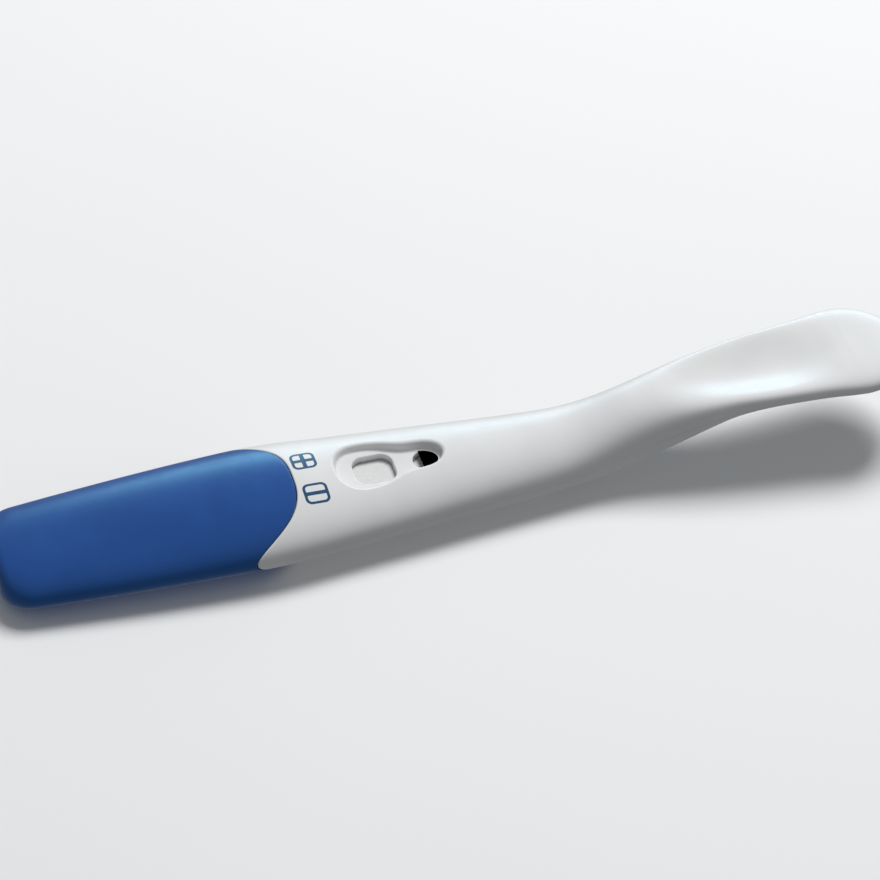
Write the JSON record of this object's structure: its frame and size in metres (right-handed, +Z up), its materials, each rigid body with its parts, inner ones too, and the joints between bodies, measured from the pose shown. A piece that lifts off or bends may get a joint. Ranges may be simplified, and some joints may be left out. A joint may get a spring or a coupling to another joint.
{
  "type": "pregnancy test",
  "caption": "Slim midstream test stick with a push-on cap over its wick, a recessed result pool with two windows, and a raised paddle handle with a thumb dish.",
  "frame": {"origin": "middle of the base of the whole object, cap on, lying on its flat underside", "axes": "+X along the stick from the cap tip to the handle end, +Y across it, +Z up with the windows on top"},
  "size_m": [0.1424, 0.0238, 0.0152],
  "materials": {
    "blue_cap_plastic": "smooth glossy moulded plastic, slightly translucent blue",
    "white_casing_plastic": "smooth satin-gloss moulded white plastic",
    "wick_fibre": "bonded absorbent fibre",
    "strip_card": "matt polystyrene card",
    "strip_pad": "soft absorbent paper",
    "conjugate_fibre": "glass fibre with a dried blue label",
    "membrane": "smooth matt porous membrane",
    "clear_film": "clear laminated film",
    "tablet": "pressed powder tablet"
  },
  "bodies": {
    "casing": {"upper_casing": "white_casing_plastic", "lower_casing": "white_casing_plastic", "sampler_wick": "wick_fibre", "backing_card": "strip_card", "transfer_pad": "strip_pad", "conjugate_pad": "conjugate_fibre", "test_membrane": "membrane", "cover_film": "clear_film", "sink_pad": "strip_pad", "desiccant_tablet": "tablet"},
    "cap": {"cap": "blue_cap_plastic"}
  },
  "joints": [
    {"name": "cap_pull", "type": "slide", "parent": "casing", "child": "cap", "axis": [-1, 0, 0], "range_m": [0, 0.055]}
  ]
}
